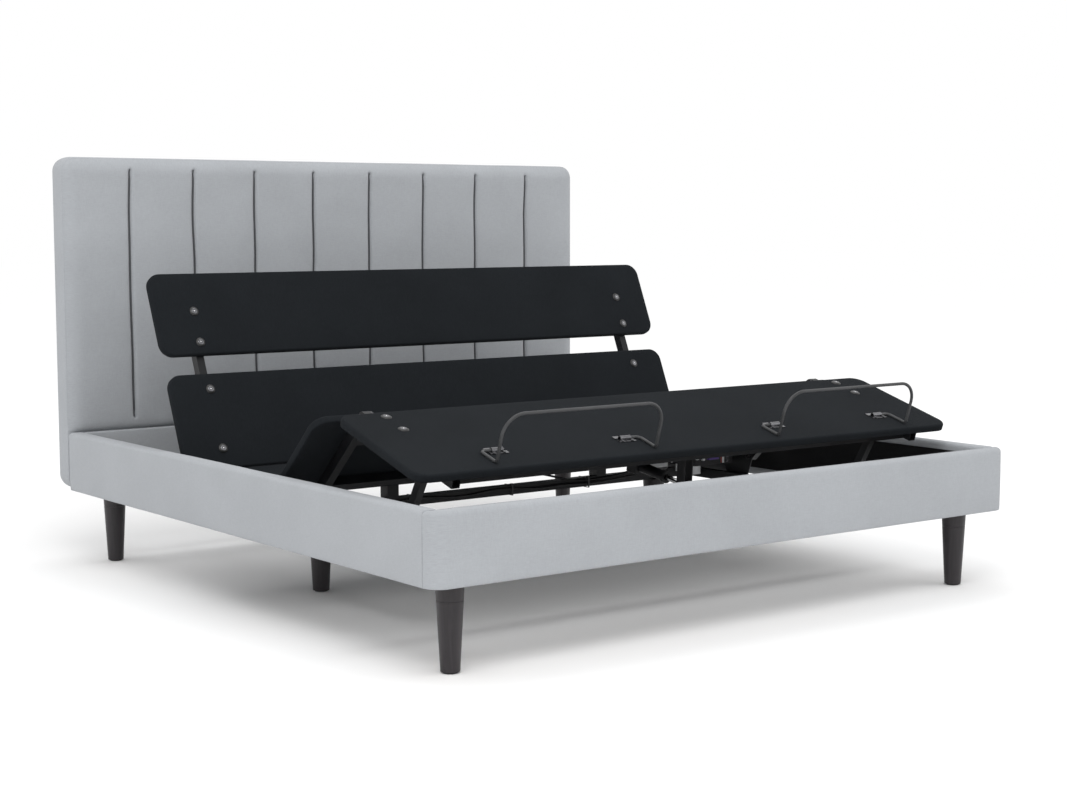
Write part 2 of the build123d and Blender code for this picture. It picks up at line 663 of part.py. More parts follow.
def actuator_tube(length):
    """Fixed outer tube with a collar at its mouth."""
    body = Rot(0, 90, 0) * Cylinder(OUTER_TUBE_R, length, align=(Align.CENTER, Align.CENTER, Align.MIN))
    collar = Pos(length - 14, 0, 0) * (Rot(0, 90, 0) * Cylinder(
        OUTER_TUBE_R + 3, 14, align=(Align.CENTER, Align.CENTER, Align.MIN)))
    bore = Rot(0, 90, 0) * Cylinder(OUTER_BORE_R, length + 1, align=(
        Align.CENTER, Align.CENTER, Align.MIN))
    return Pos(GEARBOX_FAR, 0, 0) * (body + collar - bore)


def actuator_rod(start, end):
    """Moving rod, eye and cross pin; end is the pin's place."""
    rod = Pos(start, 0, 0) * (Rot(0, 90, 0) * Cylinder(ROD_R, end - start, align=(
        Align.CENTER, Align.CENTER, Align.MIN)))
    eye = Pos(end, 0, 0) * Cylinder(EYE_R, EYE_W)
    pin = Pos(end, 0, 0) * Cylinder(ARM_PIN_R, ARM_GAP + 2 * ARM_PLATE + 8)
    return rod + eye + pin


def flat_arm_pin(pin, hinge, lift):
    """The arm's pin with the deck flat; lift is the deck's signed angle at rest."""
    return turned(pin, hinge, -lift)


def actuator_parts(centre_x, pivot, pin, hinge, lift):
    """Gearbox, outer tube and rod of one actuator, at rest."""
    extended = actuator_length(pivot, pin)
    retracted = actuator_length(pivot, flat_arm_pin(pin, hinge, lift))
    tube_long = retracted - ARM_REACH - GEARBOX_FAR
    rod_start = GEARBOX_FAR + 4 + (extended - retracted)
    pieces = (actuator_gearbox(), actuator_tube(tube_long), actuator_rod(rod_start, extended))
    return [aim(piece, centre_x, pivot, pin) for piece in pieces]


def actuator_clevises():
    """Ears on the seat crossbar with the rear pins of both actuators."""
    clevises = []
    for x, (y, z), face in ((HEAD_ACTUATOR_X, HEAD_PIVOT, SEAT_CROSSBAR_Y + TUBE_W / 2),
                            (LEG_ACTUATOR_X, LEG_PIVOT, SEAT_CROSSBAR_Y - TUBE_W / 2)):
        y0, y1 = sorted((face, y))
        gap = EYE_W / 2 + 0.5
        for x0 in (x - gap - PLATE, x + gap):
            ear = box(x0, x0 + PLATE, y0, y1, z - 12, DECK_BOTTOM - 3)
            ear += cylinder_x(12.0, x0, x0 + PLATE, y, z)
            clevises.append(ear - cylinder_x(PIN_R, x0 - 1, x0 + PLATE + 1, y, z))
        clevises.append(cylinder_x(PIN_R, x - gap - PLATE - 3, x + gap + PLATE + 3, y, z))
    return clevises


# ================================================================ mattress retainers
def retainer_bar(centre):
    """One bent rod: toe, foot, upright, top, and the same down the other side."""
    z0 = DECK_TOP + ROD_BAR_R + 0.2
    z1 = DECK_TOP + RETAINER_HEIGHT
    y0 = KNEE_FLAT[0] - RETAINER_STATION
    y1 = y0 + RETAINER_FOOT
    left, right = centre - RETAINER_HALF, centre + RETAINER_HALF
    path = FilletPolyline(
        (left + RETAINER_TOE, y1, z0), (left, y1, z0), (left, y0, z0), (left, y0, z1),
        (right, y0, z1), (right, y0, z0), (right, y1, z0), (right - RETAINER_TOE, y1, z0),
        radius=[14.0, 10.0, RETAINER_BEND, RETAINER_BEND, 10.0, 14.0])
    section = Plane(origin=path @ 0, z_dir=path % 0) * Circle(ROD_BAR_R)
    return raise_foot(sweep(section, path=path))


def retainer_clamps():
    """Grooved plates over the toes of the bars, two screws in each."""
    clamps = []
    y = KNEE_FLAT[0] - RETAINER_STATION + RETAINER_FOOT
    for centre in RETAINER_CENTRES.values():
        for side in (-1, 1):
            x = centre + side * (RETAINER_HALF - RETAINER_TOE + 12)
            plate = box(x - 29, x + 29, y - 19, y + 19, DECK_TOP, DECK_TOP + 3.0)
            ridge = cylinder_x(ROD_BAR_R + 2.6, x - 18, x + 18, y, DECK_TOP + ROD_BAR_R + 0.2)
            ridge &= box(x - 30, x + 30, y - 30, y + 30, DECK_TOP, DECK_TOP + 30)
            groove = cylinder_x(ROD_BAR_R + 0.15, x - 60, x + 60, y, DECK_TOP + ROD_BAR_R + 0.2)
            slit = box(x - 60, x + 60, y - ROD_BAR_R - 0.15, y + ROD_BAR_R + 0.15,
                       DECK_TOP - 1, DECK_TOP + ROD_BAR_R + 0.2)
            clamp = plate + ridge - groove - slit
            clamps += clamp.solids()
            for dx in (-17, 17):
                screw = cylinder_z(4.2, x + dx, y - 13, DECK_TOP + 3.0, DECK_TOP + 5.4)
                clamps.append(screw)
    return [raise_foot(p) for p in clamps]


# ================================================================ electrics
def rounded_case(centre_x, centre_y, wide, deep, high):
    case = box(centre_x - wide / 2, centre_x + wide / 2, centre_y - deep / 2, centre_y + deep / 2,
               DECK_BOTTOM - high, DECK_BOTTOM - 0.3)
    return fillet(case.edges().filter_by(Axis.Z), 8.0)


def turn_radii(points):
    """The largest arcs that the runs allow: 0.45 of the shorter run over tan(turn / 2)."""
    radii = []
    for a, b, c in zip(points, points[1:], points[2:]):
        first, second = Vector(*b) - Vector(*a), Vector(*c) - Vector(*b)
        angle = math.radians(first.get_angle(second))
        radii.append(0.45 * min(first.length, second.length) / math.tan(angle / 2))
    return radii


def clipped_cable(name, points):
    """A round cable along straight runs joined by arcs; prints its length, arcs and volume."""
    radii = turn_radii(points)
    path = FilletPolyline(*points, radius=radii)
    section = Plane(origin=path @ 0, z_dir=path % 0) * Circle(CABLE_R)
    solid = sweep(section, path=path)
    ratio = solid.volume / (math.pi * CABLE_R ** 2 * path.length)
    print(f"{name}: {path.length:.0f} mm long, tightest arc {min(radii):.0f} mm, "
          f"volume over section times length {ratio:.3f}")
    return solid


def power_lead():
    """From the power supply to the control box, tied along the front of the middle crossbar."""
    points = [(-610, 1219.5, 312), (-610, 1197, 307), (-600, 1170, 284), (-572, 1146, 264),
              (-522, 1147, 252), (-470, 1149, 246), (-416, 1149, 243), (-362, 1148.5, 247),
              (-308, 1149, 250), (-252, 1149, 246), (-196, 1148.5, 241), (-140, 1149, 240),
              (-84, 1148.5, 244), (-28, 1149, 249), (28, 1149, 249), (84, 1148, 244),
              (140, 1145, 240), (196, 1141, 241), (250, 1140, 243), (306, 1140, 240),
              (362, 1140, 239), (418, 1138, 242), (470, 1134, 248), (520, 1121, 254),
              (566, 1102, 266), (600, 1082, 282), (624, 1064, 300), (628, 1044.5, 305)]
    return clipped_cable("power_lead", points)


def head_motor_cable():
    """From the head motor, between the two middle crossbars and on along the lower one."""
    points = [(119.5, 1280, 302), (146, 1279, 301), (172, 1266, 292), (186, 1236, 281),
              (194, 1200, 276), (206, 1163, 273), (236, 1144, 264), (284, 1147, 253),
              (340, 1149, 249), (396, 1148, 250), (446, 1145, 253), (500, 1135, 264),
              (552, 1119, 277), (600, 1097, 291), (644, 1070, 308), (656, 1045, 314)]
    return clipped_cable("head_motor_cable", points)


def leg_motor_cable():
    """Short straight lead from the leg motor into the side of the control box."""
    start = LEG_ACTUATOR_X + 26 + MOTOR_LONG
    end = CONTROL_BOX[0] - CONTROL_BOX[2] / 2
    return cylinder_x(CABLE_R, start, end, 1038.0, 303.0)


def cable_ties():
    """Straps round the middle crossbar and the cables in front of it."""
    back = SEAT_CROSSBAR_Y + TUBE_H / 2
    ties = []
    for x, front in TIES:
        x0, x1 = x - TIE_WIDE / 2, x + TIE_WIDE / 2
        loop = box(x0, x1, front - TIE_THICK, back + TIE_THICK, RAIL_BOTTOM - TIE_THICK,
                   LOWER_TOP + TIE_THICK)
        loop -= box(x0 - 1, x1 + 1, front, back, RAIL_BOTTOM, LOWER_TOP)
        head = box(x0 - 1.5, x1 + 1.5, front + 2, front + 9, LOWER_TOP + TIE_THICK, LOWER_TOP + 6)
        ties.append(loop + head)
    return ties


# ================================================================ write everything
def write_surround():
    save("headboard_core", headboard_core())
    save("headboard_cushion", headboard_cushion())
    save("headboard_back_panel", headboard_back_panel())
    save("side_rail_left", side_rail(-1))
    save("side_rail_right", side_rail(1))
    save("footboard", footboard())
    save("rail_boards", [side_board(-1), side_board(1), footboard_board()])
    save("rail_linings", rail_linings())
    save("head_rail", head_rail())
    for name, (x, y) in LEG_PLACES.items():
        save(f"leg_{name}", leg(x, y))
    save("leg_glides", leg_glides())
    save("corner_blocks", corner_blocks())
    save("headboard_brackets", headboard_brackets())


def write_base():
    save("lower_tube_left", lower_side_tube(-1))
    save("lower_tube_right", lower_side_tube(1))
    save("crossbars", [crossbar(y) for y in CROSSBAR_YS])
    save("rail_outriggers", rail_outriggers())
    save("seat_tube_left", seat_tube(-1))
    save("seat_tube_right", seat_tube(1))
    save("seat_crossbar", seat_crossbar())
    save("seat_posts", seat_posts() + hinge_gussets())
    save("seat_panel", seat_panel())
    save("frame_bolts", rail_bolts() + seat_screws())
    save("hinge_pins", fixed_pins())
    save("actuator_clevises", actuator_clevises())


def write_decks():
    save("head_frame", head_frame())
    for name, (a, b), pair in zip(("lower", "upper"), HEAD_PANELS, (HEAD_BOLTS[:2], HEAD_BOLTS[2:])):
        panel = deck_panel(HEAD_HINGE_Y + a, HEAD_HINGE_Y + b, head_ys(pair))
        save(f"head_panel_{name}", raise_head(panel))
    save("head_bolts", [raise_head(p) for p in deck_bolts(head_ys(HEAD_BOLTS))])
    save("head_lift_arm", head_lift_arm())
    save("thigh_frame", thigh_frame())
    panel = deck_panel(THIGH_HINGE_Y - THIGH_PANEL[1], THIGH_HINGE_Y - THIGH_PANEL[0],
                       thigh_ys(THIGH_BOLTS))
    save("thigh_panel", raise_thigh(panel))
    save("thigh_bolts", [raise_thigh(p) for p in deck_bolts(thigh_ys(THIGH_BOLTS))])
    save("leg_lift_arm", leg_lift_arm())
    save("knee_hinges", knee_hinges())
    save("foot_frame", foot_frame())
    panel = deck_panel(KNEE_FLAT[0] - FOOT_PANEL[1], KNEE_FLAT[0] - FOOT_PANEL[0],
                       foot_ys(FOOT_BOLTS))
    save("foot_panel", raise_foot(panel))
    save("foot_bolts", [raise_foot(p) for p in deck_bolts(foot_ys(FOOT_BOLTS))])
    save("link_brackets", link_brackets())
    save("foot_link_left", foot_link(-1))
    save("foot_link_right", foot_link(1))
    for name, centre in RETAINER_CENTRES.items():
        save(f"retainer_bar_{name}", retainer_bar(centre))
    save("retainer_clamps", retainer_clamps())


def write_drives():
    head = actuator_parts(HEAD_ACTUATOR_X, HEAD_PIVOT, HEAD_ARM_PIN, HEAD_HINGE, HEAD_ANGLE)
    leg_drive = actuator_parts(LEG_ACTUATOR_X, LEG_PIVOT, LEG_ARM_PIN, THIGH_HINGE, -THIGH_ANGLE)
    for name, pieces in (("head", head), ("leg", leg_drive)):
        for part, piece in zip(("motor", "actuator_tube", "actuator_rod"), pieces):
            save(f"{name}_{part}", piece)
    save("control_box", rounded_case(*CONTROL_BOX))
    save("power_supply", rounded_case(*POWER_SUPPLY))
    save("power_lead", power_lead())
    save("motor_cables", [head_motor_cable(), leg_motor_cable()])
    save("cable_ties", cable_ties())


write_surround()
write_base()
write_decks()
write_drives()
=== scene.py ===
"""Looks of the adjustable bed base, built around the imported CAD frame."""
import json
import math

import bpy
from mathutils import Matrix, Vector, noise


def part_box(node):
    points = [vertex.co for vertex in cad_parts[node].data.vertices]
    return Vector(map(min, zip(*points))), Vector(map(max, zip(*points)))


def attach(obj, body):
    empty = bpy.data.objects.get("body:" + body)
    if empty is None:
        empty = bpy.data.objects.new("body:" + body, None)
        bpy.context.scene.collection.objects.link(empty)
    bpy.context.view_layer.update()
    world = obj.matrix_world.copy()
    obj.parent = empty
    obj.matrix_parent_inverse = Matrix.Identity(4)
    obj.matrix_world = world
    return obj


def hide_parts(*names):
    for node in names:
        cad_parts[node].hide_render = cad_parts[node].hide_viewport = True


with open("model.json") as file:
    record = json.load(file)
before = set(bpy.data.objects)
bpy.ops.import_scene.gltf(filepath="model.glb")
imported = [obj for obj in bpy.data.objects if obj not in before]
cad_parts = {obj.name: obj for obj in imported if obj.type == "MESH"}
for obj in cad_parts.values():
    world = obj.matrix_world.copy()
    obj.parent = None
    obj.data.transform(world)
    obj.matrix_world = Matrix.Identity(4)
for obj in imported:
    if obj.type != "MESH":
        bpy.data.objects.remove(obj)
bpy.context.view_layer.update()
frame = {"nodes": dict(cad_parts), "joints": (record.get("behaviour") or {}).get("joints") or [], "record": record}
NODES = frame["nodes"]
JOINTS = {j["name"]: j for j in frame["joints"]}

# ---------------------------------------------------------------- camera
CAMERA_PLACE = (-3.447, -4.698, 1.094)
CAMERA_TURN = (84.523, 0.095, -36.951)          # degrees
CAMERA_LENS = 63.48                             # millimetres on a 36 mm sensor

camera_data = bpy.data.cameras.new("camera")
camera_data.lens = CAMERA_LENS
camera_data.sensor_width = 36.0
camera = bpy.data.objects.new("camera", camera_data)
camera.location = CAMERA_PLACE
camera.rotation_euler = [math.radians(a) for a in CAMERA_TURN]
bpy.context.scene.collection.objects.link(camera)
bpy.context.scene.camera = camera
bpy.context.scene.view_settings.view_transform = "Standard"


# ---------------------------------------------------------------- material helpers
WAVES_PER_UNIT_SCALE = 3.1831                   # bands per metre of a wave texture at scale 1
FLAT_LIMIT, SHARP_LIMIT = 0.985, 0.80           # cosines between a softened and a true normal


class Graph:
    """A node material with a Principled shader and short calls for the nodes used here."""

    def __init__(self, name, color, roughness, metallic=0.0, **sockets):
        self.material = bpy.data.materials.new(name)
        self.material.use_nodes = True
        self.nodes = self.material.node_tree.nodes
        self.links = self.material.node_tree.links
        self.shader = self.nodes["Principled BSDF"]
        self.put("Base Color", (*color, 1.0))
        self.put("Roughness", roughness)
        self.put("Metallic", metallic)
        for key, value in sockets.items():
            self.put(key.replace("_", " "), value)
        self.place = self.nodes.new("ShaderNodeTexCoord").outputs["Object"]

    def put(self, socket, value):
        self.shader.inputs[socket].default_value = value

    def feed(self, source, socket):
        self.links.new(source, self.shader.inputs[socket])

    def scaled(self, x, y, z):
        node = self.nodes.new("ShaderNodeMapping")
        node.inputs["Scale"].default_value = (x, y, z)
        self.links.new(self.place, node.inputs["Vector"])
        return node.outputs["Vector"]

    def noise(self, scale, detail=3.0, rough=0.55, vector=None, distortion=0.0):
        node = self.nodes.new("ShaderNodeTexNoise")
        node.inputs["Scale"].default_value = scale
        node.inputs["Detail"].default_value = detail
        node.inputs["Roughness"].default_value = rough
        node.inputs["Distortion"].default_value = distortion
        self.links.new(vector or self.place, node.inputs["Vector"])
        return node.outputs["Fac"]

    def wave(self, axis, per_metre, distortion=0.0):
        node = self.nodes.new("ShaderNodeTexWave")
        node.bands_direction = axis
        node.inputs["Scale"].default_value = per_metre / WAVES_PER_UNIT_SCALE
        node.inputs["Distortion"].default_value = distortion
        node.inputs["Detail Scale"].default_value = 2.0
        self.links.new(self.place, node.inputs["Vector"])
        return node.outputs["Fac"]

    def math(self, operation, a, b=0.0, clamp=False):
        node = self.nodes.new("ShaderNodeMath")
        node.operation = operation
        node.use_clamp = clamp
        for slot, value in zip(node.inputs, (a, b)):
            if isinstance(value, (int, float)):
                slot.default_value = value
            else:
                self.links.new(value, slot)
        return node.outputs[0]

    def ramp(self, source, *stops):
        node = self.nodes.new("ShaderNodeValToRGB")
        elements = node.color_ramp.elements
        while len(elements) < len(stops):
            elements.new(0.5)
        for element, (at, color) in zip(elements, stops):
            element.position = at
            value = (color,) * 3 if isinstance(color, (int, float)) else color
            element.color = (*value, 1.0)
        self.links.new(source, node.inputs["Fac"])
        return node.outputs["Color"]

    def mix(self, share, a, b, blend="MIX"):
        node = self.nodes.new("ShaderNodeMix")
        node.data_type = "RGBA"
        node.blend_type = blend
        for slot, value in ((node.inputs["Factor"], share), (node.inputs["A"], a), (node.inputs["B"], b)):
            if isinstance(value, tuple):
                slot.default_value = (*value, 1.0)
            elif isinstance(value, (int, float)):
                slot.default_value = value
            else:
                self.links.new(value, slot)
        return node.outputs["Result"]

    def bump(self, height, strength, distance):
        node = self.nodes.new("ShaderNodeBump")
        node.inputs["Strength"].default_value = strength
        node.inputs["Distance"].default_value = distance
        self.links.new(height, node.inputs["Height"])
        return node.outputs["Normal"]

    def edge_mask(self, radius):
        """About 1 along sharp edges and 0 on flat faces."""
        bevel = self.nodes.new("ShaderNodeBevel")
        bevel.samples = 4
        bevel.inputs["Radius"].default_value = radius
        geometry = self.nodes.new("ShaderNodeNewGeometry")
        dot = self.nodes.new("ShaderNodeVectorMath")
        dot.operation = "DOT_PRODUCT"
        self.links.new(bevel.outputs["Normal"], dot.inputs[0])
        self.links.new(geometry.outputs["Normal"], dot.inputs[1])
        return self.ramp(dot.outputs["Value"], (SHARP_LIMIT, 1.0), (FLAT_LIMIT, 0.0))


def shade(base, factor):
    return tuple(c * factor for c in base)


def woven(name, base, thread, contrast, mottling, bump, roughness=0.9, sheen=0.1, specular=0.15):
    """Plain weave: threads and slubs along the surface, and soft cloudy variation.

    thread: threads per metre. contrast: of the fibres. mottling: depth of the cloudy patches.
    """
    g = Graph(name, base, roughness, Sheen_Weight=sheen, Sheen_Roughness=0.6, Specular_IOR_Level=specular)
    split = g.nodes.new("ShaderNodeSeparateXYZ")
    g.links.new(g.nodes.new("ShaderNodeTexCoord").outputs["Normal"], split.inputs["Vector"])
    total, threads, slubs = 0.0001, 0.0, 0.0
    for axis, stretch in (("X", (900, 70, 70)), ("Y", (70, 900, 70)), ("Z", (70, 70, 900))):
        # a pattern that varies along an axis is kept off the faces that look along it
        facing = g.math("ABSOLUTE", split.outputs[axis])
        share = g.math("SUBTRACT", 1.0, g.math("MULTIPLY", facing, 1.25), clamp=True)
        share = g.math("MULTIPLY", share, share)
        total = g.math("ADD", total, share)
        threads = g.math("ADD", threads, g.math("MULTIPLY", g.wave(axis, thread, 1.2), share))
        slubs = g.math("ADD", slubs, g.math("MULTIPLY", g.noise(1.0, 2.0, 0.6, g.scaled(*stretch)), share))
    threads = g.math("DIVIDE", threads, total)
    slubs = g.math("DIVIDE", slubs, total)
    clouds = g.noise(5.0, 3.0, 0.55)
    fibre = g.math("ADD", g.math("MULTIPLY", slubs, 0.7), g.math("MULTIPLY", threads, 0.3))
    light = g.ramp(fibre, (0.34, shade(base, 1 - contrast)), (0.64, shade(base, 1 + contrast)))
    cloudy = g.ramp(clouds, (0.3, 1 - mottling), (0.7, 1.0))
    g.feed(g.mix(1.0, light, cloudy, "MULTIPLY"), "Base Color")
    height = g.math("ADD", threads, g.math("MULTIPLY", slubs, 1.2))
    g.feed(g.bump(height, bump, 0.0006), "Normal")
    return g.material


def powder_coat(name, base, roughness=0.42, edge=(0.030, 0.031, 0.034)):
    """Satin paint with a fine grain, rubbed a little lighter along its edges."""
    g = Graph(name, base, roughness, Specular_IOR_Level=0.24)
    grain = g.noise(900.0, 2.0, 0.6)
    blotch = g.noise(14.0, 4.0, 0.6)
    tone = g.ramp(blotch, (0.3, shade(base, 0.75)), (0.7, shade(base, 1.35)))
    wear = g.math("MULTIPLY", g.edge_mask(0.0012), g.math("MULTIPLY", g.noise(60.0, 4.0, 0.7), 0.9))
    g.feed(g.mix(wear, tone, edge), "Base Color")
    g.feed(g.ramp(blotch, (0.3, roughness - 0.08), (0.75, roughness + 0.12)), "Roughness")
    g.feed(g.bump(grain, 0.35, 0.0003), "Normal")
    return g.material


def metal(name, base, roughness, brushed=(40, 40, 1500), streak=0.12):
    """Bare or plated metal with faint lines and duller spots."""
    g = Graph(name, base, roughness, metallic=1.0)
    lines = g.noise(1.0, 3.0, 0.6, g.scaled(*brushed))
    spots = g.noise(35.0, 4.0, 0.65)
    g.feed(g.ramp(spots, (0.25, shade(base, 0.72)), (0.7, base)), "Base Color")
    g.feed(g.ramp(lines, (0.3, roughness - streak / 2), (0.7, roughness + streak)), "Roughness")
    g.feed(g.bump(lines, 0.12, 0.0002), "Normal")
    return g.material


def plastic(name, base, roughness=0.5, grain=1400.0, grain_bump=0.25):
    """Moulded plastic or rubber with a fine grain."""
    g = Graph(name, base, roughness, Specular_IOR_Level=0.45)
    fine = g.noise(grain, 2.0, 0.5)
    broad = g.noise(25.0, 3.0, 0.6)
    g.feed(g.ramp(broad, (0.3, shade(base, 0.85)), (0.7, shade(base, 1.2))), "Base Color")
    g.feed(g.ramp(broad, (0.3, roughness - 0.06), (0.7, roughness + 0.08)), "Roughness")
    g.feed(g.bump(fine, grain_bump, 0.0003), "Normal")
    return g.material


def stained_wood(name, base, roughness, along=(60, 60, 5)):
    """Wood with grain and pores stretched along its length, worn a little at the edges."""
    g = Graph(name, base, roughness, Coat_Weight=0.12, Coat_Roughness=0.3, Specular_IOR_Level=0.35)
    grain = g.noise(1.0, 5.0, 0.65, g.scaled(*along), distortion=0.6)
    pores = g.noise(1.0, 2.0, 0.7, g.scaled(along[0] * 9, along[1] * 9, along[2] * 4))
    color = g.ramp(grain, (0.30, shade(base, 0.62)), (0.52, base), (0.75, shade(base, 1.55)))
    wear = g.math("MULTIPLY", g.edge_mask(0.002), 0.35)
    g.feed(g.mix(wear, color, shade(base, 2.6)), "Base Color")
    g.feed(g.ramp(grain, (0.3, roughness + 0.1), (0.7, roughness - 0.04)), "Roughness")
    g.feed(g.bump(pores, 0.25, 0.0003), "Normal")
    return g.material


GREY = (0.358, 0.373, 0.393)
BLACK_CLOTH = (0.0122, 0.0142, 0.0166)
M = {
    "grey_fabric": woven("grey_linen", GREY, 420.0, 0.10, 0.06, 0.5),
    "deck_cloth": woven("black_deck_cloth", BLACK_CLOTH, 700.0, 0.22, 0.15, 0.35, 0.95, 0.0, 0.09),
    "lining_cloth": woven("black_lining", (0.009, 0.009, 0.010), 500.0, 0.3, 0.2, 0.3, 0.95, 0.02),
    "leg_wood": stained_wood("espresso_wood", (0.021, 0.0175, 0.0200), 0.42),
    "hidden_board": stained_wood("raw_board", (0.40, 0.27, 0.16), 0.75, (20, 20, 20)),
    "black_steel": powder_coat("black_powder_coat", (0.0080, 0.0085, 0.0098)),
    "zinc_steel": metal("zinc_plate", (0.42, 0.42, 0.43), 0.28),
    "rod_chrome": metal("polished_rod", (0.75, 0.75, 0.76), 0.10, streak=0.05),
    "case_plastic": plastic("case_plastic", (0.014, 0.014, 0.016)),
    "cable_rubber": plastic("cable_jacket", (0.010, 0.010, 0.011), 0.45, 500.0, 0.1),
    "tie_plastic": plastic("tie_nylon", (0.012, 0.012, 0.012), 0.35),
}
M["bolt"] = metal("bolt_finish", (0.17, 0.17, 0.18), 0.22)
M["wire"] = powder_coat("grey_wire", (0.046, 0.047, 0.049), 0.36, (0.09, 0.09, 0.095))
M["back_cloth"] = woven("headboard_back_cloth", (0.055, 0.056, 0.060), 450.0, 0.25, 0.2, 0.4)
M["label"] = plastic("blank_label", (0.62, 0.63, 0.64), 0.55, 300.0, 0.05)
M["connector"] = plastic("violet_connector", (0.10, 0.055, 0.26), 0.4)
# painted shade: darker cloth for the shadowed slit down each channel seam
M["painted_seam_shade"] = woven("painted_seam_shade", (0.115, 0.119, 0.126), 900.0, 0.1, 0.1, 0.5)
M["red_strip"] = plastic("red_strip", (0.24, 0.045, 0.04), 0.5, 300.0, 0.05)

for item in frame["record"]["subparts"]:
    node = NODES[item["node"]]
    node.data.materials.clear()
    node.data.materials.append(M[item["material_slot"]])
for name in ("head_bolts", "thigh_bolts", "foot_bolts", "retainer_clamps", "knee_hinges", "hinge_pins"):
    NODES[name].data.materials[0] = M["bolt"]
NODES["headboard_back_panel"].data.materials[0] = M["back_cloth"]
for name in ("retainer_bar_left", "retainer_bar_right"):
    NODES[name].data.materials[0] = M["wire"]


# ---------------------------------------------------------------- mesh helpers
def mesh_piece(name, vertices, faces, material, body, smooth=True):
    """Visible piece that rides on a body."""
    mesh = bpy.data.meshes.new(name)
    mesh.from_pydata([tuple(v) for v in vertices], [], faces)
    mesh.validate()
    mesh.materials.append(material)
    if smooth:
        mesh.shade_smooth()
    piece = bpy.data.objects.new(name, mesh)
    bpy.context.scene.collection.objects.link(piece)
    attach(piece, body)
    return piece


def corner_loop(half, radii, inset, per_corner=9, per_side=(24, 6)):
    """Counter-clockwise rounded rectangle about the origin, pulled in by inset.

    half: half sizes. radii: corner radii in the order (+,+), (-,+), (-,-), (+,-).
    """
    hx, hy = half[0] - inset, half[1] - inset
    points = []
    centres = ((1, 1), (-1, 1), (-1, -1), (1, -1))
    for k, (sx, sy) in enumerate(centres):
        r = max(radii[k] - inset, 0.0006)
        cx, cy = sx * (hx - r), sy * (hy - r)
        for i in range(per_corner):
            a = math.pi / 2 * (k + i / (per_corner - 1))
            points.append((cx + r * math.cos(a), cy + r * math.sin(a)))
        nx, ny = centres[(k + 1) % 4]
        rn = max(radii[(k + 1) % 4] - inset, 0.0006)
        a = math.pi / 2 * (k + 1)
        end = (nx * (hx - rn) + rn * math.cos(a), ny * (hy - rn) + rn * math.sin(a))
        start = points[-1]
        count = per_side[k % 2]
        for i in range(1, count):
            t = i / count
            points.append((start[0] + (end[0] - start[0]) * t, start[1] + (end[1] - start[1]) * t))
    return points


def skin(loops):
    """Vertices and faces of a closed body through loops of equal count, capped at both ends."""
    count = len(loops[0])
    vertices = [v for loop in loops for v in loop]
    faces = []
    for k in range(len(loops) - 1):
        a, b = k * count, (k + 1) * count
        for i in range(count):
            j = (i + 1) % count
            faces.append((a + i, a + j, b + j, b + i))
    faces.append(tuple(reversed(range(count))))
    faces.append(tuple(range((len(loops) - 1) * count, len(loops) * count)))
    return vertices, faces


def arc_profile(radius, steps, inset0=0.0, height0=0.0):
    """(inset, height) pairs of a quarter round that goes up and in."""
    pairs = []
    for i in range(steps + 1):
        a = math.pi / 2 * i / steps
        pairs.append((inset0 + radius * (1 - math.cos(a)), height0 + radius * math.sin(a)))
    return pairs


def ripple(point, seed, size, amount):
    """Small smooth unevenness, the same each run."""
    p = Vector(point) * size + Vector((seed * 7.3, seed * 3.1, seed * 5.7))
    return amount * noise.noise(p)


# ---------------------------------------------------------------- headboard
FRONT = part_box("headboard_cushion")[0].y
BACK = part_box("headboard_back_panel")[0].y - 0.0005
HALF_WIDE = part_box("headboard_cushion")[1].x
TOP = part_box("headboard_cushion")[1].z
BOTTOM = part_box("headboard_cushion")[0].z
RAIL_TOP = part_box("side_rail_left")[1].z
SEAM_Z = RAIL_TOP - 0.002                       # level of the stitched line across the headboard
CORNER = 0.045
CHANNELS = 9
PUFF = 0.020                                    # from the tucked seams to the crown
FACE_INSET = 0.004
CHANNEL = 2 * HALF_WIDE / CHANNELS              # width of one channel
# where the channel seams start, from the top and from the stitched line
STITCH_TOP, STITCH_LOW = 0.027, 0.031
# distances of the mesh's columns from a channel seam, and of its rows from a horizontal edge
SEAM_STEPS = (0.0, 0.0014, 0.0028, 0.0044, 0.0065, 0.0095, 0.014, 0.020, 0.029, 0.041, 0.056, 0.074, 0.094)
ROW_STEPS = (0.0, 0.0015, 0.0035, 0.006, 0.010, 0.015, 0.021, 0.028, 0.032, 0.036, 0.040, 0.045,
             0.056, 0.068)
ROW_PITCH = 0.016
LEAST_STEP = 0.0009
# columns of the painted-shade strips down each channel seam
SEAM_SHADE_STEPS = (-0.0036, -0.0028, -0.0014, 0.0, 0.0014, 0.0028, 0.0036)


def eased(x):
    """Smooth step from 0 to 1."""
    x = min(max(x, 0.0), 1.0)
    return x * x * (3 - 2 * x)


def swell(distance, reach, power):
    """0 at a seam, rising steeply to 1 at reach from it."""
    return 1 - (1 - min(max(distance / reach, 0.0), 1.0)) ** power


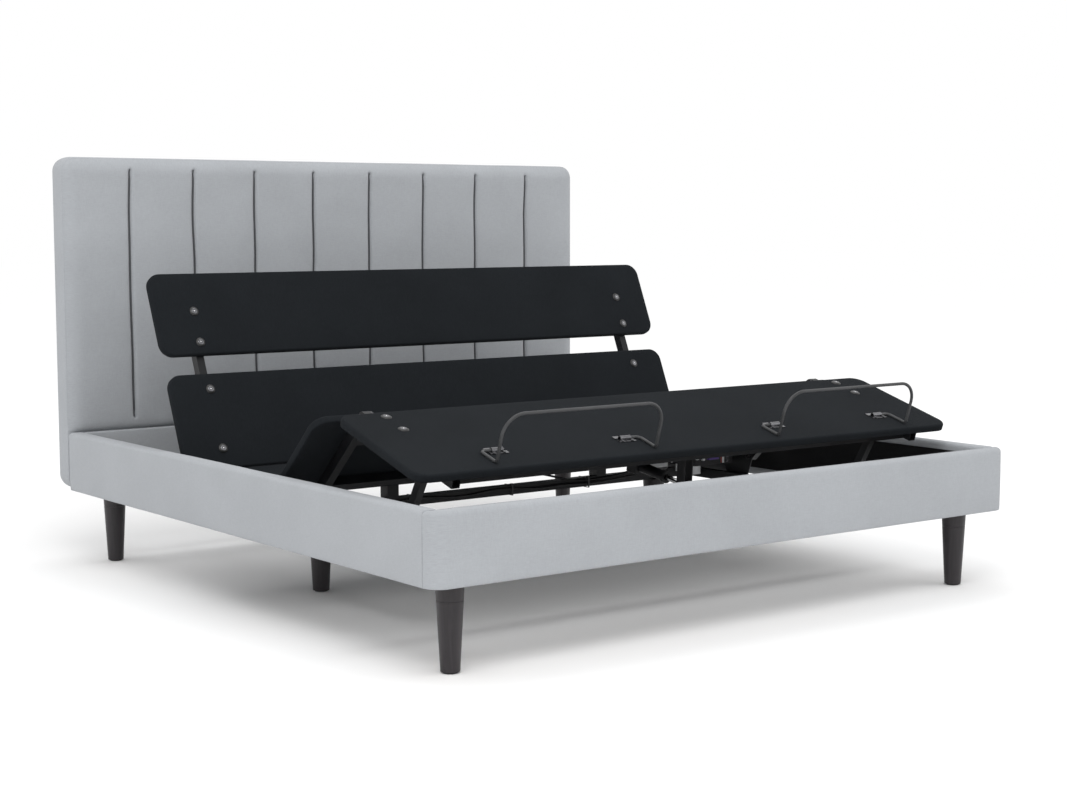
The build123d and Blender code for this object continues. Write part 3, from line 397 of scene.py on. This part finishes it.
def tufted(column, z):
    """Point of the headboard's front cover for a flat-pattern column and a height."""
    half = HALF_WIDE - FACE_INSET
    z0, z1 = BOTTOM + FACE_INSET, TOP - FACE_INSET
    radius = CORNER - FACE_INSET
    into = max(radius - (z - z0), radius - (z1 - z), 0.0)
    row_half = half - (radius - math.sqrt(max(radius ** 2 - into ** 2, 0.0)))
    x = column * row_half / half
    edge = min(row_half - abs(x), z - z0, z1 - z)
    t = (column + HALF_WIDE) / CHANNEL
    seam = CHANNEL / 2 if round(t) in (0, CHANNELS) else abs(t - round(t)) * CHANNEL
    stitched = eased((z1 - STITCH_TOP - z) / 0.010) * eased((z - SEAM_Z - STITCH_LOW) / 0.012)
    pillowed = eased((z1 - 0.028 - z) / 0.17) * eased((z - SEAM_Z - 0.010) / 0.15)
    x += ripple((round(t), 0, z), 13, 4.5, 0.006) * math.exp(-seam / 0.05) * stitched
    rise = swell(edge, 0.052, 2.3) * (1 - 0.75 * math.exp(-abs(z - SEAM_Z) / 0.009))
    rise *= 1 - 0.30 * (1 - swell(seam, CHANNEL / 2, 2.1)) * pillowed \
        - 0.66 * math.exp(-(seam / 0.0056) ** 1.5) * stitched
    pucker = ripple((x, 0, z), 3, 42.0, 0.0012) * math.exp(-seam / 0.022) * stitched
    drape = ripple((x, 0, z * 0.6), 5, 6.0, 0.0026) + ripple((x * 1.4, 0, z), 9, 15.0, 0.0009)
    return x, FRONT + 0.0165 - PUFF * rise - (pucker + drape) * min(rise, 1.0), z


def spaced(values, least):
    """Sorted values with near doubles left out."""
    kept = []
    for value in sorted(values):
        if not kept or value - kept[-1] > least:
            kept.append(value)
    return kept


def sheet(name, columns, rows, place, material):
    """Open grid of quads over the columns and rows, on the fixed frame."""
    count = len(columns)
    faces = [(a, a + 1, a + count + 1, a + count)
             for r in range(len(rows) - 1) for a in range(r * count, r * count + count - 1)]
    vertices = [place(c, z) for z in rows for c in columns]
    return mesh_piece(name, vertices, faces, material, "bed_frame")


def headboard_face():
    """Front cover with vertical channels, its edge tucked into the border seam."""
    half = HALF_WIDE - FACE_INSET
    z0, z1 = BOTTOM + FACE_INSET, TOP - FACE_INSET
    columns = {-half, half}
    for k in range(CHANNELS + 1):
        for step in SEAM_STEPS + (CHANNEL / 2,):
            columns.update((-HALF_WIDE + CHANNEL * k - step, -HALF_WIDE + CHANNEL * k + step))
    rows = {z0, z1}
    for centre in (z1, SEAM_Z, z0):
        for step in ROW_STEPS:
            rows.update((centre - step, centre + step))
    rows.update(z0 + ROW_PITCH * i for i in range(80))
    return sheet("headboard_face", spaced({c for c in columns if abs(c) <= half}, LEAST_STEP),
                 spaced({z for z in rows if z0 <= z <= z1}, LEAST_STEP), tufted,
                 M["grey_fabric"])


def painted_seam_shades():
    """Painted shade: darker cloth strips down each channel seam, standing for the shadow in the slit."""
    low, high = SEAM_Z + 0.036, TOP - FACE_INSET - 0.031
    rows = [low + (high - low) * i / 60 for i in range(61)]
    for k in range(1, CHANNELS):
        def place(step, z):
            taper = min(1.0, (z - low) / 0.03, (high - z) / 0.03)
            x, y, z = tufted(-HALF_WIDE + CHANNEL * k + step * (0.35 + 0.65 * taper), z)
            return x, y - 0.0004, z
        sheet(f"painted_seam_shade_{k}", SEAM_SHADE_STEPS, rows, place, M["painted_seam_shade"])


def headboard_border():
    """Boxing strip round the headboard, from the front seam to the back panel."""
    half = (HALF_WIDE, (TOP - BOTTOM) / 2)
    middle = (TOP + BOTTOM) / 2
    profile = [(0.040, 0.020), (0.010, 0.0176), (0.0050, 0.0169), (0.0036, 0.0168), (0.0018, 0.0184),
               (0.0005, 0.0216), (-0.0006, 0.030), (-0.0013, 0.045), (-0.0009, 0.066),
               (0.0004, 0.082), (0.0018, 0.089), (0.0045, BACK - FRONT - 0.0002), (0.03, BACK - FRONT)]
    loops = []
    for inset, dy in profile:
        loop = []
        for x, z in corner_loop(half, (CORNER,) * 4, inset, 12, (60, 32)):
            soft = ripple((x, dy, z), 11, 6.0, 0.0014) if 0.021 < dy < 0.085 else 0.0
            length = math.hypot(x / half[0], z / half[1])
            loop.append((x * (1 + soft / length), FRONT + dy, middle + z * (1 + soft / length)))
        loops.append(loop)
    vertices, faces = skin(loops)
    mesh_piece("headboard_border", vertices, faces, M["grey_fabric"], "bed_frame")


face = headboard_face()
# painted shade down the channel seams
painted_seam_shades()
headboard_border()
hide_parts("headboard_cushion", "headboard_core")


# ---------------------------------------------------------------- rails
def upholstered_bar(name, node, radii, per_side, seed, top_round=0.012, puff=0.0015):
    """Rail with a soft top edge, fabric pulled round it and slightly uneven outer faces."""
    low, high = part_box(node)
    centre = (low + high) / 2
    half = ((high.x - low.x) / 2, (high.y - low.y) / 2)
    tall = high.z - low.z
    profile = [(0.0045, 0.0), (0.0015, 0.0007), (0.0003, 0.003)]
    profile += [(0.0, h * tall) for h in (0.06, 0.14, 0.25, 0.38, 0.5, 0.62, 0.74, 0.84)]
    profile += [(i, h) for i, h in arc_profile(top_round, 7, 0.0, tall - top_round)]
    profile += [(top_round + 0.003, tall + 0.0004), (top_round + 0.006, tall + 0.0007)]
    loops = []
    for inset, height in profile:
        loop = []
        for x, y in corner_loop(half, radii, inset, 9, per_side):
            y = min(max(y, -half[1] + inset), half[1] - inset)
            px, py = centre.x + x, centre.y + y
            soft = (ripple((px, py, height), seed, 5.0, 0.0016)
                    + ripple((px, py, height * 2), seed + 4, 16.0, 0.0005))
            # only the outer face swells: the inner one lies against the lining
            out_x = x / half[0] if half[0] < half[1] and x * centre.x > 0 else 0.0
            out_y = y / half[1] if half[1] < half[0] and y < 0 else 0.0
            swollen = soft + (puff * math.sin(math.pi * min(height / tall, 1.0)) if inset < 0.002 else 0.0)
            loop.append((px + out_x * swollen, py + out_y * swollen,
                         low.z + height + soft * 0.5 * (inset > 0.004)))
        loops.append(loop)
    vertices, faces = skin(loops)
    piece = mesh_piece(name, vertices, faces, M["grey_fabric"], "bed_frame")
    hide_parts(node)


for side, seed in (("left", 21), ("right", 33)):
    upholstered_bar(f"rail_cover_{side}", f"side_rail_{side}", (0.002,) * 4, (3, 70), seed=seed)
upholstered_bar("footboard_cover", "footboard", (0.0015, 0.0015, CORNER, CORNER), (70, 3), seed=47)


def head_band():
    """Low padded band between the side rails, under the channels."""
    low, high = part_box("head_rail")
    centre = (low + high) / 2
    half = ((high.x - low.x) / 2, (high.z - low.z) / 2)
    thick = high.y - low.y
    profile = [(0.003, 0.0), (0.0, 0.003)] + arc_profile(0.006, 5, 0.0, thick - 0.006)
    profile += [(0.014, thick + 0.0012), (0.03, thick + 0.0022), (0.06, thick + 0.0026)]
    loops = []
    for inset, out in profile:
        uneven = 0.001 if inset > 0.007 else 0.0
        loops.append([(centre.x + x, high.y - out - ripple((x, 0, z), 61, 8.0, uneven), centre.z + z)
                      for x, z in corner_loop(half, (0.006,) * 4, inset, 6, (60, 8))])
    vertices, faces = skin(loops)
    piece = mesh_piece("head_band", vertices, faces, M["grey_fabric"], "bed_frame")
    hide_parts("head_rail")


head_band()

# ---------------------------------------------------------------- decks
HEAD_HINGE = Vector(JOINTS["head_lift"]["pos_m"])
THIGH_HINGE = Vector(JOINTS["thigh_lift"]["pos_m"])
KNEE = Vector(JOINTS["knee_fold"]["pos_m"])
HEAD_ANGLE = -JOINTS["head_lift"]["range_deg"][0]
THIGH_ANGLE = -JOINTS["thigh_lift"]["range_deg"][0]
FOOT_ANGLE = 17.1                               # slope of the foot deck when the knee is up
BOARD_LOW, BOARD_HIGH = 0.015, 0.037            # deck board, above the hinge line
DECK_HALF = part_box("seat_panel")[1].x
DECK_CORNER, SEAT_CORNER = 0.042, 0.020
DECK_TUBE_X = 0.831                             # middle of the deck tubes, where the bolts are


def about(point, degrees):
    """Rotation about the X direction through a point."""
    turn = Matrix.Rotation(math.radians(degrees), 4, "X")
    return Matrix.Translation(point) @ turn @ Matrix.Translation(-point)


KNEE_FLAT = THIGH_HINGE - Vector((0, (KNEE - THIGH_HINGE).length, 0))
RAISED = {
    "head_deck": about(HEAD_HINGE, HEAD_ANGLE),
    "thigh_deck": about(THIGH_HINGE, -THIGH_ANGLE),
    "foot_deck": about(KNEE, FOOT_ANGLE) @ Matrix.Translation(KNEE - KNEE_FLAT),
    "bed_frame": Matrix.Identity(4),
}


def deck_cover(name, node, body, y0, y1, corner=DECK_CORNER):
    """Board wrapped in cloth, with round edges and a faint crown, between two places on the flat deck."""
    half = (DECK_HALF, (y1 - y0) / 2)
    middle = (y0 + y1) / 2
    thick = BOARD_HIGH - BOARD_LOW
    under = 0.0035                              # radius of the lower edge
    profile = [(0.020, -0.0001), (under, 0.0)]
    profile += [(under * (1 - math.sin(a)), under * (1 - math.cos(a))) for a in (0.5, 1.0, 1.57)]
    profile += [(0.0, 0.009), (-0.0003, 0.013)] + arc_profile(0.0065, 6, 0.0, thick - 0.0065)
    profile += [(0.010, thick + 0.0003), (0.018, thick + 0.0006), (0.030, thick + 0.0008),
                (0.05, thick + 0.0009), (0.08, thick + 0.0009), (min(half[1] - 0.012, 0.11), thick + 0.0009)]
    matrix = RAISED[body]
    loops = []
    for inset, height in profile:
        loop = []
        for x, y in corner_loop(half, (corner,) * 4, inset, 10, (72, 14)):
            h = height + (ripple((x, y, 0), 71, 9.0, 0.0005) if inset > 0.009 and height > 0.01 else 0.0)
            loop.append(matrix @ Vector((x, middle + y, HEAD_HINGE.z + BOARD_LOW + h)))
        loops.append(loop)
    vertices, faces = skin(loops)
    piece = mesh_piece(name, vertices, faces, M["deck_cloth"], body)
    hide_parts(node)


# the boards' ends, from the hinges
H, T, K = HEAD_HINGE.y, THIGH_HINGE.y, KNEE_FLAT.y
HEAD_END = H + 0.6517
deck_cover("head_cover_lower", "head_panel_lower", "head_deck", H + 0.0257, H + 0.3257)
deck_cover("head_cover_upper", "head_panel_upper", "head_deck", H + 0.3867, HEAD_END)
deck_cover("thigh_cover", "thigh_panel", "thigh_deck", T - 0.3436, T - 0.015)
deck_cover("foot_cover", "foot_panel", "foot_deck", K - 0.457, K - 0.0566)
SEAT_LOW, SEAT_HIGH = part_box("seat_panel")
deck_cover("seat_cover", "seat_panel", "bed_frame", SEAT_LOW.y, SEAT_HIGH.y, SEAT_CORNER)


# ---------------------------------------------------------------- cables
HALF_LENGTH = 1094                              # of the bed, in millimetres
CABLE_RADIUS = 0.0035


def row(x, y, z):
    """A point of the part's route, given in its working millimetres, in the shared frame."""
    return (x / 1000, (y - HALF_LENGTH) / 1000, z / 1000)


def cable(name, points, node):
    """Cord along a route of the part, standing for one of its nodes."""
    curve = bpy.data.curves.new(name, "CURVE")
    curve.dimensions = "3D"
    curve.resolution_u = 8
    curve.bevel_depth = CABLE_RADIUS
    curve.bevel_resolution = 4
    spline = curve.splines.new("NURBS")
    spline.points.add(len(points) - 1)
    for target, point in zip(spline.points, points):
        target.co = (*row(*point), 1.0)
    spline.order_u = 3
    spline.use_endpoint_u = True
    curve.materials.append(M["cable_rubber"])
    piece = bpy.data.objects.new(name, curve)
    bpy.context.scene.collection.objects.link(piece)
    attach(piece, "bed_frame")
    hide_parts(node)
    row(*points[0])


cable("power_cable", [
    (-610, 1219.5, 312), (-610, 1197, 307), (-600, 1170, 284), (-572, 1146, 264),
    (-522, 1147, 252), (-470, 1149, 246), (-416, 1149, 243), (-362, 1148.5, 247),
    (-308, 1149, 250), (-252, 1149, 246), (-196, 1148.5, 241), (-140, 1149, 240),
    (-84, 1148.5, 244), (-28, 1149, 249), (28, 1149, 249), (84, 1148, 244),
    (140, 1145, 240), (196, 1141, 241), (250, 1140, 243), (306, 1140, 240),
    (362, 1140, 239), (418, 1138, 242), (470, 1134, 248), (520, 1121, 254),
    (566, 1102, 266), (600, 1082, 282), (624, 1064, 300), (628, 1044.5, 305)], "power_lead")
cable("head_motor_cable", [
    (119.5, 1280, 302), (146, 1279, 301), (172, 1266, 292), (186, 1236, 281),
    (194, 1200, 276), (206, 1163, 273), (236, 1144, 264), (284, 1147, 253),
    (340, 1149, 249), (396, 1148, 250), (446, 1145, 253), (500, 1135, 264),
    (552, 1119, 277), (600, 1097, 291), (644, 1070, 308), (656, 1045, 314)], "motor_cables")


def ribbed_sleeve(name, start, end, radii):
    """Strain relief: a tapered sleeve with ribs between two points."""
    a, b = Vector(row(*start)), Vector(row(*end))
    axis = (b - a).normalized()
    side = axis.orthogonal().normalized()
    other = axis.cross(side)
    rings, around, groove = 17, 20, 0.0006
    loops = []
    for k in range(rings):
        t = k / (rings - 1)
        r = radii[0] + (radii[1] - radii[0]) * t - groove * (k % 4 == 2)
        centre = a + (b - a) * t
        loops.append([centre + r * (side * math.cos(u) + other * math.sin(u))
                      for u in (2 * math.pi * i / around for i in range(around))])
    vertices, faces = skin(loops)
    mesh_piece(name, vertices, faces, M["cable_rubber"], "bed_frame")


RELIEF = (0.0058, 0.0042)                       # radii at the case and at the cable
ribbed_sleeve("relief_supply", (-610, 1220.8, 312.3), (-610, 1198, 307), RELIEF)
ribbed_sleeve("relief_box_power", (628.5, 1043.2, 305.2), (624.6, 1062, 300.8), RELIEF)
ribbed_sleeve("relief_box_motor", (656.5, 1043.2, 314.3), (649, 1059, 310.5), RELIEF)
ribbed_sleeve("relief_head_motor", (118.2, 1280, 302), (140, 1279.2, 301.2), RELIEF)
ribbed_sleeve("leg_motor_lead", (588.2, 1038, 303), (614.8, 1038, 303), (0.0048, 0.0048))


# ---------------------------------------------------------------- small details
def block(name, low, high, material, body="bed_frame", soft=0.0008, matrix=Matrix.Identity(4)):
    """Box with softened edges between two corners."""
    low, high = Vector(low), Vector(high)
    middle, size = (low + high) / 2, high - low
    half = (size.x / 2, size.y / 2)
    soft = min(soft, *(0.3 * s for s in size))
    loops = []
    for inset, height in ((soft, 0.0), (0.0, soft), (0.0, size.z - soft), (soft, size.z)):
        loops.append([matrix @ Vector((middle.x + x, middle.y + y, low.z + height))
                      for x, y in corner_loop(half, (soft * 1.5,) * 4, inset, 3, (1, 1))])
    vertices, faces = skin(loops)
    mesh_piece(name, vertices, faces, material, body, smooth=False)


def lathe(name, profile, matrix, material, body, around=28):
    """(radius, height) profile turned about the local Z direction."""
    loops = [[matrix @ Vector((r * math.cos(a), r * math.sin(a), h))
              for a in (2 * math.pi * i / around for i in range(around))] for r, h in profile]
    vertices, faces = skin(loops)
    mesh_piece(name, vertices, faces, material, body)


# (radius, height) profiles of a cup washer, and of a chrome disc at the crest of a bolt head whose brightness is a
# painted highlight
CUP = [(0.0085, 0.0), (0.0150, 0.0), (0.0150, 0.0008), (0.0140, 0.0019), (0.0120, 0.0028), (0.0100, 0.0040),
       (0.0084, 0.0042), (0.0078, 0.0034), (0.0078, 0.0026)]
HIGHLIGHT_DISC = [(0.0024, 0.0), (0.0024, 0.0016), (0.0017, 0.0023), (0.0007, 0.0026)]
SAME_BOLT = 0.03                                # vertices nearer than this are on one bolt


def bolt_cups(node, body):
    """Dark cup washer round every bolt of a deck, and a chrome disc at the crest of its head as a painted
    highlight.
    """
    back = RAISED[body].inverted() @ NODES[node].matrix_world
    board_top = HEAD_HINGE.z + BOARD_HIGH
    spots = {}
    for vertex in NODES[node].data.vertices:
        p = back @ vertex.co
        if p.z > board_top + 0.0005:
            spots.setdefault((p.x > 0, round(p.y / SAME_BOLT)), []).append(p)
    crest = max(p.z for points in spots.values() for p in points)
    bolts = []                                  # x, lowest y and highest y of each bolt head
    for _, points in sorted(spots.items()):
        x = sum(p.x for p in points) / len(points)
        low, high = min(p.y for p in points), max(p.y for p in points)
        y = (low + high) / 2
        same = [k for k, (bx, b_low, b_high) in enumerate(bolts)
                if abs(bx - x) < SAME_BOLT and abs((b_low + b_high) / 2 - y) < SAME_BOLT]
        if same:
            _, b_low, b_high = bolts[same[0]]
            bolts[same[0]] = (x, min(b_low, low), max(b_high, high))
        else:
            bolts.append((x, low, high))
    for k, (x, low, high) in enumerate(bolts, 1):
        place = (math.copysign(DECK_TUBE_X, x), (low + high) / 2)
        lathe(f"{node}_cup_{k}", CUP, RAISED[body] @ Matrix.Translation((*place, board_top + 0.0007)),
              M["tie_plastic"], body)
        # chrome disc at the dome's crest: a painted highlight on the dark bolt
        lathe(f"{node}_highlight_disc_{k}", HIGHLIGHT_DISC, RAISED[body] @ Matrix.Translation((*place, crest - 0.0021)),
              M["rod_chrome"], body, 16)


bolt_cups("head_bolts", "head_deck")
bolt_cups("thigh_bolts", "thigh_deck")
bolt_cups("foot_bolts", "foot_deck")

# end caps of the head frame's tubes, just past the board
flat_head = RAISED["head_deck"].inverted() @ NODES["head_frame"].matrix_world
tube_end = max((flat_head @ v.co).y for v in NODES["head_frame"].data.vertices)
board_under = HEAD_HINGE.z + BOARD_LOW
for side, name in ((-1, "head_tube_cap_left"), (1, "head_tube_cap_right")):
    middle = side * DECK_TUBE_X
    block(name, (middle - 0.0135, tube_end + 0.0002, board_under - 0.024),
          (middle + 0.0135, max(tube_end + 0.0015, HEAD_END + 0.0031), board_under + 0.010),
          M["tie_plastic"], "head_deck", matrix=RAISED["head_deck"])

# blank labels, sockets and plugs of the electrics
BOX_LOW, BOX_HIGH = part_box("control_box")
SUNK = 0.0004                                   # how far a plug or label goes into the case
# x and z from the front left lower corner, width, height, depth and material
PLUGS = (
    ("plug_a", 0.003, 0.021, 0.009, 0.012, 0.008, "label"),
    ("plug_b", 0.016, 0.022, 0.007, 0.008, 0.011, "bolt"),
    ("plug_c", 0.027, 0.017, 0.010, 0.013, 0.009, "label"),
    ("plug_d", 0.041, 0.023, 0.006, 0.007, 0.012, "bolt"),
    ("violet_plug", 0.052, 0.018, 0.044, 0.009, 0.012, "connector"),
    ("red_strip", 0.113, 0.003, 0.005, 0.031, 0.0012, "red_strip"),
    ("box_label_white", 0.120, 0.003, 0.008, 0.031, 0.0012, "label"))
for name, x, z, width, height, out, key in PLUGS:
    corner = BOX_LOW + Vector((x, 0, z))
    block(name, corner - Vector((0, out, 0)), corner + Vector((width, SUNK, height)), M[key])

SOCKET = [(0.0022, -0.0004), (0.0046, -0.0004), (0.0046, 0.0020), (0.0036, 0.0024),
          (0.0030, 0.0010), (0.0022, 0.0004)]
for k in range(3):
    place = Matrix.Translation(BOX_LOW + Vector((0.142, 0, 0.008 + 0.012 * k)))
    lathe(f"box_socket_{k + 1}", SOCKET, place @ Matrix.Rotation(math.pi / 2, 4, "X"),
          M["bolt"], "bed_frame", 20)

block("box_tag", BOX_LOW + Vector((-0.012, 0.010, -0.028)), BOX_LOW + Vector((0.034, 0.0112, 0.0003)),
      M["label"])
block("box_dongle", (BOX_LOW.x + 0.010, BOX_HIGH.y - 0.020, BOX_LOW.z - 0.026),
      (BOX_LOW.x + 0.018, BOX_HIGH.y - 0.010, BOX_LOW.z + SUNK), M["label"])
MOTOR_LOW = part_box("leg_motor")[0]
block("motor_label", MOTOR_LOW + Vector((0.058, -0.0006, 0.016)), MOTOR_LOW + Vector((0.134, 0.0030, 0.034)),
      M["label"], "leg_actuator")

# ---------------------------------------------------------------- floor, light
# the paint goes to pure white away from the bed, so that the floor meets the background unseen
FLOOR_HALF = 40
FADE_REACH = 5.0
floor_paint = Graph("floor_paint", (0.93, 0.93, 0.93), 1.0, Specular_IOR_Level=0.0)
distance = floor_paint.nodes.new("ShaderNodeVectorMath")
distance.operation = "LENGTH"
floor_paint.links.new(floor_paint.place, distance.inputs[0])
share = floor_paint.math("MULTIPLY", distance.outputs["Value"], 1 / FADE_REACH)
floor_paint.feed(floor_paint.ramp(share, (0.32, 0.92), (0.80, 1.0)), "Base Color")
floor_mesh = bpy.data.meshes.new("floor")
floor_corners = [(x * FLOOR_HALF, y * FLOOR_HALF, 0) for x, y in ((-1, -1), (1, -1), (1, 1), (-1, 1))]
floor_mesh.from_pydata(floor_corners, [], [(0, 1, 2, 3)])
floor_mesh.materials.append(floor_paint.material)
floor = bpy.data.objects.new("floor", floor_mesh)
bpy.context.scene.collection.objects.link(floor)

world = bpy.data.worlds.new("studio")
world.use_nodes = True
world.node_tree.nodes["Background"].inputs["Color"].default_value = (1.0, 1.0, 1.0, 1.0)
world.node_tree.nodes["Background"].inputs["Strength"].default_value = 1.0
bpy.context.scene.world = world


def area_light(name, place, target, size, power):
    """Rectangular lamp of some watts, aimed at a point."""
    data = bpy.data.lights.new(name, "AREA")
    data.shape = "RECTANGLE"
    data.size, data.size_y = size
    data.energy = power
    light = bpy.data.objects.new(name, data)
    light.location = place
    light.rotation_euler = (Vector(target) - Vector(place)).to_track_quat("-Z", "Y").to_euler()
    bpy.context.scene.collection.objects.link(light)


area_light("key", (-3.0, -3.5, 4.6), (0, 0, 0.4), (3.0, 2.6), 108)
area_light("fill", (4.5, -4.0, 3.0), (0, 0, 0.4), (3.0, 3.0), 25)
area_light("top", (0.0, 0.5, 5.0), (0, 0, 0), (4.0, 4.0), 48)
